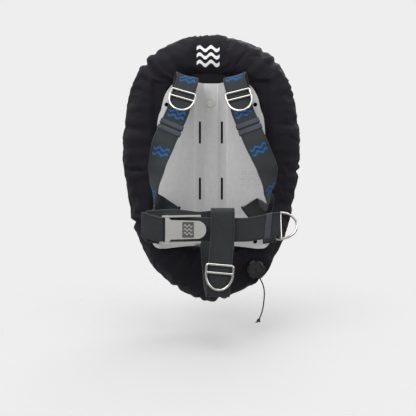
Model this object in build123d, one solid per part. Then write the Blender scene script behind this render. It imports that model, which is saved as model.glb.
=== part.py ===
from build123d import *
from math import atan2, ceil, cos, pi, radians, sin, tan
import os

# Single-tank buoyancy compensator: backplate, donut wing, webbing harness and its hardware.
# Millimetres. +Z up, the diver's side faces -Y, +X is the viewer's right when facing the diver's side.
# The origin lies on the plate's front plane, midway between the two centre bolt holes.

# ---- driving dimensions ----
bolt_spacing = 279.4          # centre bolts of every backplate, 11 inches
web_w, web_t = 50.8, 2.5      # two-inch webbing
web_gap = 0.3                 # free space between soft and moving parts

plate_t = 3.0
plate_top, plate_bottom = 190.0, -203.5
plate_arch = 8.0              # rise of the bottom edge at the middle
arch_half = 105.0
foot_round = 19.0             # lower corners
channel_depth = 18.0
channel_floor, channel_mouth = 16.5, 37.5   # half widths
bend_r = 4.0

cam_x, cam_z, cam_len, cam_w = 26.0, (70.0, -63.0), 53.0, 5.0
accessory_x, accessory_z, accessory_r = 104.0, (135.0, -187.0), 5.0
slot_len, slot_w = 56.0, 6.5
top_slot = (66.0, 168.0, 15.0)      # x, z and tilt of the shoulder slots
side_slot = (89.0, -127.0, 37.0)    # where the shoulder webbing comes back to the plate
waist_slot = (125.0, -165.0, 90.0)
crotch_slot_z = -183.0

wing_front, wing_back = 9.0, 93.0
wing_wall = 3.0
tube_round = 36.0
hole_w, hole_top, hole_bottom = 75.0, 200.0, -214.0
hole_round = 60.0
film = 0.8                    # coated film of the bladder

panel_t = 2.6
panel_y = channel_depth + plate_t
panel_top, panel_bottom = 197.0, -160.0

valve_x, valve_z = 105.8, -251.8
valve_r, neck_r, poppet_r = 22.0, 17.0, 12.5

port_z = 252.0
elbow_bore, hose_barb_r = 10.0, 12.5

wire = 5.0                    # stainless wire of the D-rings
ring_pitch = 17.3             # between the two front bars of a ring
ring_depth = 35.0             # lower bar to the crown of the D

buckle_x, buckle_y, buckle_z = -93.0, -138.0, -143.5   # lever hinge
buckle_len, buckle_h = 84.0, 58.0
lever_len, lever_h = 83.0, 41.0

cord_d = 3.0

os.makedirs("parts", exist_ok=True)
made = {}


def keep(name, shape):
    """Name a piece and write it."""
    shape.label = name
    made[name] = shape
    export_step(shape, f"parts/{name}.step")


def extruded(face_on_xz, y0, y1):
    """A flat outline drawn in X and Z, filled from y0 to y1."""
    return Pos(0, y1, 0) * extrude(Plane.XZ * face_on_xz, amount=y1 - y0)


def disc(x, z, r, y0, y1):
    return extruded(Pos(x, z) * Circle(r), y0, y1)


def slot(x, z, tilt, length, width, y0=-15, y1=60):
    return extruded(Pos(x, z) * Rot(0, 0, tilt) * SlotOverall(length, width), y0, y1)


def rod(start, way, r, length):
    """A cylinder that begins at start and runs along way."""
    low = (Align.CENTER, Align.CENTER, Align.MIN)
    return Plane(origin=start, z_dir=way) * Cylinder(r, length, align=low)


def turned(v, axis, angle):
    return v.rotate(Axis((0, 0, 0), axis), angle)


def webbing(route, across, radii, width=web_w, thick=web_t):
    """A flat strap: straight runs joined by tangent arcs, its width turning from point to point."""
    pts = [Vector(*p) for p in route]
    wide = [Vector(*a).normalized() for a in across]
    radii = [0] + list(radii) + [0]
    stops = [(pts[0], wide[0])]
    for i in range(1, len(pts) - 1):
        u = (pts[i] - pts[i - 1]).normalized()
        v = (pts[i + 1] - pts[i]).normalized()
        turn = u.get_angle(v)
        axis = u.cross(v).normalized()
        back = radii[i] * tan(radians(turn / 2))
        centre = pts[i] - u * back + turned(u, axis, 90) * radii[i]
        arm = pts[i] - u * back - centre
        steps = max(1, ceil(turn / 18))
        for k in range(steps + 1):
            stops.append((centre + turned(arm, axis, turn * k / steps), wide[i]))
    stops.append((pts[-1], wide[-1]))
    rings = []
    for i, (p, w) in enumerate(stops):
        a = stops[max(i - 1, 0)][0]
        b = stops[min(i + 1, len(stops) - 1)][0]
        before = (p - a).normalized() if i else (b - p).normalized()
        after = (b - p).normalized() if i < len(stops) - 1 else before
        along = (before + after).normalized()
        flat = (w - along * w.dot(along)).normalized() * (width / 2)
        up = along.cross(flat).normalized() * (thick / 2)
        rings.append([p - flat - up, p + flat - up, p + flat + up, p - flat + up])
    faces = [Face(Wire.make_polygon(r)) for r in (rings[0], rings[-1])]
    for a, b in zip(rings, rings[1:]):
        for i, j in ((0, 1), (1, 2), (2, 3), (3, 0)):
            near, far = Edge.make_line(a[i], b[i]), Edge.make_line(a[j], b[j])
            faces.append(Face.make_surface_from_curves(near, far))
    return Solid(Shell(faces))


def tube(route, radii, r, close=False):
    path = FilletPolyline(*route, radius=radii, close=close)
    start = Plane(origin=path @ 0, z_dir=path % 0)
    return sweep(start * Circle(r), path=path)


# ---- backplate ----
def channel_sheet():
    """The bent sheet, seen from above, as one strip of even thickness."""
    run = channel_mouth - channel_floor
    shift = plate_t * tan(atan2(channel_depth, run) / 2)
    front = [(-160, 0), (-channel_mouth, 0), (-channel_floor, channel_depth)]
    back = [(-160, plate_t), (-channel_mouth - shift, plate_t),
            (-channel_floor - shift, channel_depth + plate_t)]
    half = front + [(-x, y) for x, y in reversed(front)]
    rear = [(-x, y) for x, y in back] + list(reversed(back))
    sheet = make_face(Polyline(*half, *rear, close=True))
    bends = [v for v in sheet.vertices() if abs(v.X) < 100]
    return extrude(Pos(0, 0, -250) * fillet(bends, bend_r), amount=500)


def plate_outline():
    edge = [(72, plate_top), (96, 176), (110, 152), (117.5, 122), (127, 75)]
    foot = (139, plate_bottom)
    top = ThreePointArc((-72, plate_top), (0, plate_top - 3), (72, plate_top))
    right = Spline(*edge, tangents=[(1, -0.15), (0.06, -1)])
    left = mirror(right, Plane.YZ)
    side = Line(edge[-1], foot)
    other = Line((-127, 75), (-139, plate_bottom))
    ends = (arch_half, plate_bottom), (-arch_half, plate_bottom)
    base = Line(foot, ends[0]), Line(ends[1], (-foot[0], plate_bottom))
    arch = ThreePointArc(ends[0], (0, plate_bottom + plate_arch), ends[1])
    face = make_face([top, right, side, base[0], arch, base[1], other, left])
    corners = [v for v in face.vertices() if abs(v.X) > foot[0] - 1]
    return fillet(corners, foot_round)


def backplate():
    plate = channel_sheet() & extruded(plate_outline(), -5, 30)
    for side in (-1, 1):
        for z in cam_z:
            plate -= slot(side * cam_x, z, 90, cam_len, cam_w)
        for z in accessory_z:
            plate -= disc(side * accessory_x, z, accessory_r, -5, 30)
        x, z, tilt = top_slot
        plate -= slot(side * x, z, side * tilt, slot_len, slot_w)
        x, z, lean = side_slot
        plate -= slot(side * x, z, -side * (90 - lean), slot_len, slot_w)
        x, z, tilt = waist_slot
        plate -= slot(side * x, z, tilt, slot_len, slot_w)
    plate -= slot(0, crotch_slot_z, 0, slot_len, slot_w)
    for z in (bolt_spacing / 2, -bolt_spacing / 2):
        plate -= disc(0, z, 4.4, -5, 30)
    return plate


# ---- wing ----
def wing_outline(inset=0.0):
    """Egg-shaped outline; an inset moves each point in along the line's own normal."""
    half = [(0, 307), (72, 296), (140, 262), (182, 208.7), (206, 121), (213.5, 25),
            (203, -70), (180, -170), (150, -236), (107, -285), (45, -324)]
    pts = half + [(0, -338)] + [(-x, z) for x, z in reversed(half[1:])]
    moved = []
    for a, p, b in zip(pts[-1:] + pts, pts, pts[1:] + pts[:1]):
        along = Vector(b[0] - a[0], b[1] - a[1]).normalized()
        moved.append((p[0] + along.Y * inset, p[1] - along.X * inset))
    return make_face(Spline(*moved, periodic=True))


def wing_hole(grow=0.0):
    mid = (hole_top + hole_bottom) / 2
    tall = hole_top - hole_bottom + 2 * grow
    return Pos(0, mid) * RectangleRounded(2 * (hole_w + grow), tall, hole_round)


def donut(inset):
    """The inflated ring, drawn in by inset on every side."""
    body = extruded(wing_outline(inset), wing_front + inset, wing_back - inset)
    rims = body.edges().filter_by(lambda e: abs(e.center().Y - wing_front - inset) < 0.01
                                  or abs(e.center().Y - wing_back + inset) < 0.01)
    body = fillet(rims, tube_round - inset)
    core = extruded(wing_hole(inset), wing_front - 5, wing_back + 5)
    return body - core


def wing_parts():
    bore = disc(valve_x, valve_z, neck_r + web_gap, wing_front - 5, 30)
    seat = disc(valve_x, valve_z, neck_r + 9 + web_gap, wing_front - 5, 14)
    port = disc(0, port_z, 18 + web_gap, 70, wing_back + 5)
    gap = wing_wall + 0.2
    bladder = donut(gap) - donut(gap + film) - bore - seat - port
    shell = donut(0) - donut(wing_wall) - bore - seat - port
    keep("wing_shell", shell)
    keep("wing_bladder", bladder)


def wing_panel():
    """Flat centre panel of the wing, with cam band slots and grommet holes."""
    z0, z1 = panel_bottom, panel_top
    outline = Pos(0, (z0 + z1) / 2) * RectangleRounded(2 * (hole_w - 0.4), z1 - z0, hole_round - 1)
    panel = extruded(outline, panel_y, panel_y + panel_t)
    for side in (-1, 1):
        for z in cam_z:
            panel -= slot(side * cam_x, z, 90, cam_len + 3, cam_w + 2)
    for z in (bolt_spacing / 2, -bolt_spacing / 2):
        panel -= disc(0, z, 5.6, 0, 60)
    keep("wing_center_panel", panel)
    for side, name in ((-1, "left"), (1, "right")):
        roll = Pos(side * 50, panel_y + panel_t + 9.05, -5) * Cylinder(9, 250)
        keep(f"tank_stabilizer_{name}", fillet(roll.edges(), 6))


def center_bolts():
    """Book screws through the channel floor and the panel's grommets, one set at each bolt hole."""
    rear = panel_y + panel_t
    heads, barrels, grommets = [], [], []
    for z in (bolt_spacing / 2, -bolt_spacing / 2):
        barrel = disc(0, z, 9, channel_depth - 2.2, channel_depth)
        barrel += disc(0, z, 4.3, channel_depth, rear + 0.8)
        barrel -= disc(0, z, 3.05, channel_depth - 0.6, rear + 2)
        barrel -= extruded(Pos(0, z) * Rectangle(11, 1.6), channel_depth - 3, channel_depth - 1.4)
        screw = disc(0, z, 9, rear + 1.1, rear + 3.4) + disc(0, z, 3.0, channel_depth - 0.3, rear + 1.2)
        screw -= extruded(Pos(0, z) * Rectangle(11, 1.6), rear + 2.6, rear + 5)
        ring = disc(0, z, 9.5, rear, rear + 1.1) + disc(0, z, 5.5, panel_y, rear + 0.5)
        ring -= disc(0, z, 4.4, 0, 60)
        heads.append(screw)
        barrels.append(barrel)
        grommets.append(ring)
    keep("book_screw_barrels", Compound(children=barrels))
    keep("book_screws", Compound(children=heads))
    keep("panel_grommets", Compound(children=grommets))


# ---- dump valve, low on the wing's front ----
def valve_ring(r_out, r_in, y0, y1):
    return disc(valve_x, valve_z, r_out, y0, y1) - disc(valve_x, valve_z, r_in, y0 - 1, y1 + 1)


exit_dir = Vector(0.4, 0, -0.917).normalized()
exit_at = Vector(valve_x, 0.6, valve_z) + exit_dir * 12


def dump_valve():
    body = valve_ring(neck_r + 9, neck_r - 3, 10.9, 13.9) + valve_ring(neck_r, neck_r - 3, 8, 27)
    body += valve_ring(neck_r - 2.9, 8, 12.2, 14.6)
    keep("dump_valve_body", body)

    cap = disc(valve_x, valve_z, valve_r, -6.5, 10.5)
    cap = fillet(cap.edges().sort_by(Axis.Y)[0], 5)
    cap -= disc(valve_x, valve_z, neck_r + 0.1, -3.5, 12)
    for k in range(6):
        spot = Vector(valve_r + 3.2, 0, 0).rotate(Axis.Z, 60 * k + 30)
        cap -= disc(valve_x + spot.X, valve_z + spot.Y, 6, -8, 12)
    cap += valve_ring(4.2, 2.2, -3.6, -0.5)
    cap -= disc(valve_x, valve_z, 2.2, -8, 0)
    bore = rod(exit_at - exit_dir * 6, exit_dir, cord_d / 2 + 0.5, 40)
    collar = rod(exit_at + exit_dir * 5.2, exit_dir, cord_d / 2 + 1.9, 7)
    cap = cap + (collar - disc(valve_x, valve_z, neck_r + 0.1, -3.5, 12)) - bore
    keep("dump_valve_cap", cap)

    poppet = disc(valve_x, valve_z, poppet_r, 8.4, 11) + disc(valve_x, valve_z, 1.9, -2, 8.5)
    keep("dump_valve_poppet", poppet)
    keep("dump_valve_gasket", valve_ring(poppet_r - 0.5, 9, 11.1, 12.1))

    pitch, turns, coil_r, coil_w = 2.4, 3, 8.0, 0.6
    helix = Helix(pitch=pitch, height=pitch * turns, radius=coil_r)
    coil = sweep(Plane(origin=helix @ 0, z_dir=helix % 0) * Circle(coil_w), path=helix)
    keep("dump_valve_spring", Pos(valve_x, 0.35, valve_z) * Rot(-90, 0, 0) * coil)


cord_route = [
    tuple(exit_at + exit_dir * 1.0), tuple(exit_at + exit_dir * 13.0),
    (122.3, 1.2, -287.5), (125.6, 2.6, -301), (126.1, 4.0, -316), (124.6, 5.2, -331),
    (123.0, 6.0, -345), (119.2, 6.2, -358.5), (114.2, 6.0, -370.5)]


def cord_radii(route):
    pts = [Vector(*p) for p in route]
    out = []
    for a, b, c in zip(pts, pts[1:], pts[2:]):
        turn = (b - a).get_angle(c - b)
        out.append(0.45 * min((b - a).length, (c - b).length) / tan(radians(turn / 2)))
    return out


def pull_cord():
    radii = cord_radii(cord_route)
    print("pull cord radii", [round(r, 1) for r in radii])
    path = FilletPolyline(*cord_route, radius=radii)
    cord = sweep(Plane(origin=path @ 0, z_dir=path % 0) * Circle(cord_d / 2), path=path)
    print("pull cord length", round(path.length, 1), "volume ratio",
          round(cord.volume / (pi * cord_d ** 2 / 4 * path.length), 4))
    keep("pull_cord", cord)
    end, way = path @ 1, path % 1
    knot = Plane(origin=end + way * 3.4, z_dir=way) * Sphere(4.2)
    knot += Plane(origin=end + way * 3.6 + Vector(-1.4, 0, -1.6), z_dir=way) * Sphere(3.6)
    knot += rod(end + way * 6, Vector(-0.75, 0, -0.66), cord_d / 2, 9)
    keep("pull_cord_knot", knot - rod(end, way * -1, 6, 8))


# ---- inflator port at the top, tank side ----
def port_disc(r, y0, y1):
    return disc(0, port_z, r, wing_back + y0, wing_back + y1)


def side_tube(r, x0, x1, y):
    """A cylinder that leaves the port to the viewer's right."""
    return Pos((x0 + x1) / 2, y, port_z) * Rot(0, 90, 0) * Cylinder(r, x1 - x0)


def inflator_port():
    stem_r, neck_out, neck_in = elbow_bore + 3.9, 17.5, elbow_bore + 4.5
    reach = wing_back + 27.5
    neck = port_disc(neck_out, -15, 9)
    keep("inflator_port", port_disc(27, 0.3, 3.3) + neck - port_disc(neck_in, -20, 20))
    keep("elbow_o_ring", port_disc(neck_in - 0.05, -3, -1) - port_disc(stem_r + 0.05, -4, 0))

    elbow = port_disc(stem_r, -9, 27.5) + Pos(0, reach, port_z) * Sphere(stem_r)
    elbow += side_tube(hose_barb_r, 0, 52, reach)
    for k in range(3):
        barb = Cone(hose_barb_r + 1.5, hose_barb_r, 6)
        elbow += Pos(29 + 9 * k, reach, port_z) * Rot(0, 90, 0) * barb
    elbow += port_disc(16.2, 9.3, 11.3)
    elbow -= side_tube(elbow_bore, 0, 60, reach) + port_disc(elbow_bore, -12, 27.5)
    elbow -= Pos(0, reach, port_z) * Sphere(elbow_bore)
    keep("inflator_elbow", elbow)

    nut = port_disc(22, 3.6, 13.4) - port_disc(neck_out + 0.05, 0, 9.05)
    nut -= port_disc(16.5, 9, 11.6) + port_disc(stem_r + 0.4, 0, 20)
    for k in range(12):
        spot = Vector(23.4, 0, 0).rotate(Axis.Z, 30 * k)
        nut -= disc(spot.X, port_z + spot.Y, 3, wing_back, wing_back + 20)
    keep("elbow_nut", nut)


# ---- harness webbing; side is -1 for the viewer's left ----
behind_plate = plate_t + 0.4 + web_t / 2     # centre of webbing that lies behind the plate
hem_len = 13.5


def stop_fold(x, z, away, wide, y=behind_plate):
    """Doubled, sewn end behind a slot that keeps the webbing from pulling through."""
    dx, dz = away
    end = (x + dx * hem_len, y + web_t / 2, z + dz * hem_len)
    lie = Plane(origin=end, x_dir=wide, z_dir=(-dx, 0, -dz))
    low = (Align.CENTER, Align.CENTER, Align.MIN)
    return lie * Box(web_w, 2 * web_t, hem_len - 0.5, align=low)


def slot_run(x, z, away, front, y=behind_plate):
    """Webbing points from the hidden end, up to the slot and out to the front."""
    return [(x + away[0] * hem_len, y, z + away[1] * hem_len), (x, y, z), (x, front, z)]


def yawed(side, yaw, roll):
    """Width direction of webbing whose face has turned outwards by yaw."""
    return (cos(radians(yaw)), side * sin(radians(yaw)), side * tan(radians(roll)))


chest = {       # crown behind the ring, two points on the chest, then down to the side slot
    "left": [(-52, -37, 191), (-74, -67, 112), (-104, -90, 42), (-119, -95, -10),
             (-126, -86, -52), (-128, -62, -86)],
    "right": [(52, -37, 191), (71, -67, 112), (97, -89, 46), (124, -95, -14),
              (130, -87, -54), (130, -64, -88)],
}
chest_tilt = {"left": (0.31, 0.36), "right": (0.29, 0.37)}
chest_yaw = {"left": (38, 62, 80), "right": (20, 52, 76)}


def shoulder_strap(name, side):
    x, z, tilt = top_slot
    top_across = (1, 0, side * tan(radians(tilt)))
    top_away = (side * sin(radians(tilt)), -cos(radians(tilt)))
    sx, sz, lean = side_slot
    slot_across = (side * sin(radians(lean)), 0, -cos(radians(lean)))
    away = (side * cos(radians(lean)), sin(radians(lean)))
    tilts, yaws = chest_tilt[name], chest_yaw[name]
    route = slot_run(side * x, z, top_away, -9) + [(side * 58, -15, 207)] + chest[name]
    route += [(side * 127, -3.2, -101.5)] + slot_run(side * sx, sz, away, -3.2)[::-1]
    wide = [top_across] * 3 + [(1, 0, side * 0.28)] * 2 + [(1, 0, side * t) for t in tilts]
    wide += [yawed(side, yaws[0], 9), yawed(side, yaws[1], 10), yawed(side, yaws[2], 40)]
    wide += [slot_across] * 4
    radii = [2.6, 6, 9, 9, 60, 60, 30, 24, 22, 9, 2.9, 2.6]
    strap = webbing(route, wide, radii)
    strap += stop_fold(side * x, z, top_away, top_across)
    strap += stop_fold(side * sx, sz, away, slot_across)
    keep(f"shoulder_strap_{name}", strap)


waist_z = -145.0


def waist_straps():
    x, z, _ = waist_slot
    up = (0, 0, 1)
    side_to_front = [(147, -42, -157), (147, -131.5, -131)]
    right = slot_run(x, z, (1, 0), -9) + side_to_front + [
        (106, -132, -139.5), (80, -131.5, -144.5), (25, -131.5, waist_z), (-10, -129, -143.7),
        (-106, -128, -143.4), (-134, -125.5, -136), (-134, -116, -130),
        (-80, -117, -126.5), (-28, -118, -133), (27, -120, -128)]
    strap = webbing(right, [up] * len(right), [2.6, 7, 20, 7, 60, 90, 90, 120, 30, 3.2, 3.2, 60, 60])
    keep("waist_strap_right", strap + stop_fold(x, z, (1, 0), up))
    turn_x = buckle_x - 6.3
    left = slot_run(-x, z, (-1, 0), -9) + [
        (-147, -42, -157), (-147, -134.5, -131), (-124, -137.6, -139.8), (-110, -137.6, -143.5),
        (turn_x, -137.6, buckle_z), (turn_x, -131.2, buckle_z), (-118, -131.6, -143.3)]
    strap = webbing(left, [up] * len(left), [2.6, 7, 20, 6, 30, 30, 3.15, 3.15])
    keep("waist_strap_left", strap + stop_fold(-x, z, (-1, 0), up))


def crotch_strap():
    y = panel_y + 0.4 + web_t / 2
    z = crotch_slot_z
    out = (1, 0, 0)
    route = slot_run(0, z, (0, 1), -6, y) + [
        (4, -34, -236), (9, -72, -274), (13, -104, -287), (15, -139, -288), (15.6, -139, -262),
        (22, -139, -190), (25, -137.6, -150), (25, -137.6, -102.5), (25, -112.5, -99), (25, -112.5, -160)]
    strap = webbing(route, [out] * len(route), [2.6, 12, 60, 60, 16, 14, 120, 120, 120, 8, 8])
    flap = webbing([(25, -112.5, -158), (25, -112.5, -172), (24, -136.9, -186)], [out] * 3, [8])
    keep("crotch_strap", strap + flap + stop_fold(0, z, (0, 1), out, y))


def around(centre, wide, along, length, layers=1, lift=0.35, thick=1.6):
    """A short sleeve round the webbing."""
    inner_w, inner_t = web_w + 2 * lift, layers * web_t + 2 * lift
    frame = Plane(origin=centre, x_dir=wide, z_dir=along)
    ring = RectangleRounded(inner_w + 2 * thick, inner_t + 2 * thick, thick) - Rectangle(inner_w, inner_t)
    return extrude(frame * ring, amount=length / 2, both=True)


def on_run(a, b, t):
    a, b = Vector(*a), Vector(*b)
    return a + (b - a) * t, (b - a).normalized()


def square_to(along, wide):
    w = Vector(*wide)
    return (w - along * w.dot(along)).normalized()


# ---- D-rings on bent slides ----
def d_ring(bend):
    """Local frame: X across the webbing, Y back up the strap, Z out of its face."""
    r = wire / 2
    rail = web_w / 2 + web_gap + r + 0.1
    lift = web_t / 2 + web_gap + r
    bar = ring_pitch / 2
    loop = [(-rail, -bar, lift), (rail, -bar, lift), (rail, bar, lift), (-rail, bar, lift)]
    frame = tube(loop, 4, r, close=True)
    mid = tube([(-rail, 0, lift), (-rail, 0, -lift), (rail, 0, -lift), (rail, 0, lift)], 2.9, r)
    d = ring_depth
    crown = [(rail, 1, 0), (rail, -0.27 * d, 0), (0.73 * rail, -0.73 * d, 0), (0.27 * rail, -d, 0)]
    bow = tube(crown + [(-x, y, zz) for x, y, zz in reversed(crown)], [37, 31, 21.5, 21.5, 31, 37], r)
    bow = Pos(0, -bar, lift) * Rot(-bend, 0, 0) * bow
    return frame + mid + bow


def ring_at(name, centre, down, wide, bend):
    """down runs along the strap towards the D; wide is chosen so that Z leaves the outer face."""
    frame = Plane(origin=centre, x_dir=wide, z_dir=wide.cross(-down))
    keep(name, frame * d_ring(bend))
    print(name, "centre", [round(c, 2) for c in centre], "slides along", [round(c, 4) for c in down])


def rings_and_keepers():
    for name, side, bend in (("left", -1, 15), ("right", 1, 11)):
        crown, ring_to, keeper_to = chest[name][:3]
        tilts = chest_tilt[name]
        centre, down = on_run(crown, ring_to, 0.52)
        ring_at(f"shoulder_ring_{name}", centre, down, square_to(down, (1, 0, side * tilts[0])), bend)
        centre, down = on_run(ring_to, keeper_to, 0.52)
        wide = square_to(down, (1, 0, side * sum(tilts) / 2))
        for k, part in ((-1, "upper"), (1, "lower")):
            band = around(centre + down * 7.5 * k, wide, down, 11, lift=0.55)
            keep(f"shoulder_keeper_{name}_{part}", band)
        print(name, "keeper slides along", [round(v, 4) for v in down])
    centre, down = on_run((147, -42, -157), (147, -131.5, -131), 0.62)
    ring_at("hip_ring", centre, down, square_to(down, (0, 0, -1)), 82)
    centre, down = on_run((147, -131.5, -131), (106, -132, -139.5), 0.62)
    wide = square_to(down, (0, 0, 1))
    keep("hip_keeper", around(centre, wide, down, 13, lift=0.5))
    print("hip keeper slides along", [round(v, 4) for v in down])
    centre, down = on_run((22, -139, -190), (15.6, -139, -262), 0.5)
    ring_at("crotch_ring", centre, down, square_to(down, (1, 0, 0)), 3)


# ---- waist buckle ----
def buckle():
    sheet = 1.6
    x0, x1 = buckle_x - 12.5, buckle_x + buckle_len - 12.5
    half = buckle_h / 2 - 2
    z = buckle_z
    floor_y = -124.6
    floor = Pos((buckle_x - 3 + x1) / 2, floor_y + sheet / 2, z) * Box(x1 - buckle_x + 3, sheet, 2 * half)
    frame = floor
    flange = make_face(Polyline((x0, floor_y), (x0, -139), (x0 + 3, -143), (buckle_x + 8, -143),
                                (x1, floor_y - 3), (x1, floor_y + sheet),
                                (buckle_x - 3, floor_y + sheet), (buckle_x - 5, floor_y), close=True))
    for s in (-1, 1):
        wall = Pos(0, 0, z + s * half) * extrude(flange, amount=sheet / 2, both=True)
        frame += wall
    # out-turned lips along the sloping edges of the two walls
    lip = make_face(Polyline((x0 + 3, -143), (buckle_x + 8, -143), (x1, floor_y - 3),
                             (x1, floor_y - 3 + sheet), (buckle_x + 7.6, -143 + sheet),
                             (x0 + 3, -143 + sheet), close=True))
    for s in (-1, 1):
        frame += Pos(0, 0, z + s * (half + 1.6)) * extrude(lip, amount=1.8, both=True)
    frame += Pos(buckle_x - 9.5, -134.4, z) * Cylinder(1.8, 2 * half)
    frame -= Pos(buckle_x, buckle_y, z) * Cylinder(2.05, 2 * buckle_h)
    keep("buckle_frame", frame)
    pin = Pos(buckle_x, buckle_y, z) * Cylinder(2.0, 2 * half + 7.4)
    keep("buckle_pin", pin)

    barrel = Pos(buckle_x, buckle_y, z) * Cylinder(4.6, 2 * half - sheet - 0.8)
    cam = Pos(buckle_x + 0.5, buckle_y + 4.2, z) * Box(5, 7, 2 * half - sheet - 2)
    lever = barrel + fillet(cam.edges().filter_by(Axis.Z).sort_by(Axis.Y)[-2:], 1.4)
    front = buckle_y - 4.6
    wide_h, neck_x = 2 * half - sheet - 0.8, buckle_x + 9
    tip = buckle_x + lever_len
    blade = make_face([
        Line((buckle_x, wide_h / 2), (neck_x - 4, wide_h / 2)),
        ThreePointArc((neck_x - 4, wide_h / 2), (neck_x - 2, lever_h / 2 + 1.9), (neck_x + 4, lever_h / 2)),
        Line((neck_x + 4, lever_h / 2), (tip - 17, lever_h / 2 - 1.6)),
        ThreePointArc((tip - 17, lever_h / 2 - 1.6), (tip, 0), (tip - 17, 1.6 - lever_h / 2)),
        Line((tip - 17, 1.6 - lever_h / 2), (neck_x + 4, -lever_h / 2)),
        ThreePointArc((neck_x + 4, -lever_h / 2), (neck_x - 2, -lever_h / 2 - 1.9), (neck_x - 4, -wide_h / 2)),
        Line((neck_x - 4, -wide_h / 2), (buckle_x, -wide_h / 2)),
        Line((buckle_x, -wide_h / 2), (buckle_x, wide_h / 2))])
    blade = Pos(0, 0, z) * extruded(blade, front, front + 2.2)
    lever += blade
    recess = Pos(tip - 38, 0) * RectangleRounded(24, lever_h - 8, 3)
    lever -= Pos(0, 0, z) * extruded(recess, front - 1, front + 0.7)
    lever += Pos(tip - 24, front - 0.4, z) * Box(2.6, 2.4, lever_h - 4)
    for k in range(4):
        lever += Pos(tip - 18 + 3.6 * k, front, z) * Box(1.4, 1.2, lever_h - 14 - 2.5 * k)
    lever -= Pos(buckle_x, buckle_y, z) * Cylinder(2.05, 2 * buckle_h)
    keep("buckle_lever", lever)


if __name__ == "__main__":
    keep("backplate", backplate())
    wing_parts()
    wing_panel()
    center_bolts()
    dump_valve()
    pull_cord()
    inflator_port()
    shoulder_strap("left", -1)
    shoulder_strap("right", 1)
    waist_straps()
    crotch_strap()
    rings_and_keepers()
    buckle()
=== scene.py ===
import bpy
import math
import numpy as np
from mathutils import Matrix, Vector, noise


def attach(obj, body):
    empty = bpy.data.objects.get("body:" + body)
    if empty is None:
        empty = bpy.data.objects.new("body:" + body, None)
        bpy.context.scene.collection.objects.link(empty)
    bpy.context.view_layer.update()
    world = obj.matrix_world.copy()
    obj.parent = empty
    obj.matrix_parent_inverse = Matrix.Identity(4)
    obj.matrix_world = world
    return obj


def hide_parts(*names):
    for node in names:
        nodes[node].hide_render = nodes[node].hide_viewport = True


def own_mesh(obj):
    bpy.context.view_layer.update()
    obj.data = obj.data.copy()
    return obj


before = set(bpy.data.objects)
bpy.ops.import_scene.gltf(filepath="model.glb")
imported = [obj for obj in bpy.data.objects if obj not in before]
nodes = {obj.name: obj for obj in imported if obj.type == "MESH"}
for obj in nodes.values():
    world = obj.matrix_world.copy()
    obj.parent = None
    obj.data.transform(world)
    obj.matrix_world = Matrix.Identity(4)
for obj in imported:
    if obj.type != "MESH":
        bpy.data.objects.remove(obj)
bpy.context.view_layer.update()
mm = 0.001

camera = {"spot": (0.0, -1.358, -0.0074), "lens": 50.0, "shiftX": -0.007, "shiftY": -0.103, "nearest": 0.02}


def linked(name, data):      # a new object in the scene
    made = bpy.data.objects.new(name, data)
    bpy.context.scene.collection.objects.link(made)
    return made


def makeCamera():
    data = bpy.data.cameras.new("productCamera")
    data.lens = camera["lens"]
    data.shift_x = camera["shiftX"]
    data.shift_y = camera["shiftY"]
    data.clip_start = camera["nearest"]
    cam = linked("productCamera", data)
    cam.location = camera["spot"]
    cam.rotation_euler = (math.radians(90), 0, 0)
    bpy.context.scene.camera = cam


makeCamera()
print("camera ready")


def put(tree, kind, **settings):
    node = tree.nodes.new(kind)
    for key, value in settings.items():
        setattr(node, key, value)
    return node


def feed(tree, socket, value):
    if isinstance(value, bpy.types.NodeSocket):
        tree.links.new(value, socket)
    else:
        socket.default_value = value


def calc(tree, operation, *values):
    node = put(tree, "ShaderNodeMath", operation=operation)
    for socket, value in zip(node.inputs, values):
        feed(tree, socket, value)
    return node.outputs[0]


def mathNode(operation):
    def made(tree, *values):
        return calc(tree, operation, *values)
    return made


times, plus, minus, ratio = mathNode("MULTIPLY"), mathNode("ADD"), mathNode("SUBTRACT"), mathNode("DIVIDE")
absolute, larger, below = mathNode("ABSOLUTE"), mathNode("MAXIMUM"), mathNode("LESS_THAN")
above, timesPlus = mathNode("GREATER_THAN"), mathNode("MULTIPLY_ADD")


def ridges(tree, value, rate):      # a row of round ridges, one each pi / rate
    return absolute(tree, calc(tree, "SINE", times(tree, value, rate)))


def scaled(tree, vector, factor):
    node = put(tree, "ShaderNodeVectorMath", operation="SCALE")
    feed(tree, node.inputs[0], vector)
    feed(tree, node.inputs["Scale"], factor)
    return node.outputs[0]


def separated(tree, vector):
    node = put(tree, "ShaderNodeSeparateXYZ")
    tree.links.new(vector, node.inputs[0])
    return tuple(node.outputs)


def noiseOf(tree, vector, scale, detail=2.0, rough=0.5):
    node = put(tree, "ShaderNodeTexNoise")
    feed(tree, node.inputs["Vector"], vector)
    feed(tree, node.inputs["Scale"], scale)
    node.inputs["Detail"].default_value = detail
    node.inputs["Roughness"].default_value = rough
    return node.outputs["Fac"]


def ramp(tree, value, low, high, toLow=0.0, toHigh=1.0):
    node = put(tree, "ShaderNodeMapRange", interpolation_type="SMOOTHSTEP")
    for socket, number in zip(node.inputs, (value, low, high, toLow, toHigh)):
        feed(tree, socket, number)
    return node.outputs[0]


def mixed(tree, factor, a, b):
    node = put(tree, "ShaderNodeMix", data_type="RGBA")
    feed(tree, node.inputs[0], factor)
    feed(tree, node.inputs[6], a)      # sockets 6 and 7 are the two colours
    feed(tree, node.inputs[7], b)
    return node.outputs[2]


def newGroup(name, inputs, outputs):
    tree = bpy.data.node_groups.new(name, "ShaderNodeTree")
    for label, kind, value in inputs:
        socket = tree.interface.new_socket(label, in_out="INPUT", socket_type=kind)
        if value is not None:
            socket.default_value = value
    for label, kind in outputs:
        tree.interface.new_socket(label, in_out="OUTPUT", socket_type=kind)
    return tree, put(tree, "NodeGroupInput").outputs, put(tree, "NodeGroupOutput").inputs


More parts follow.
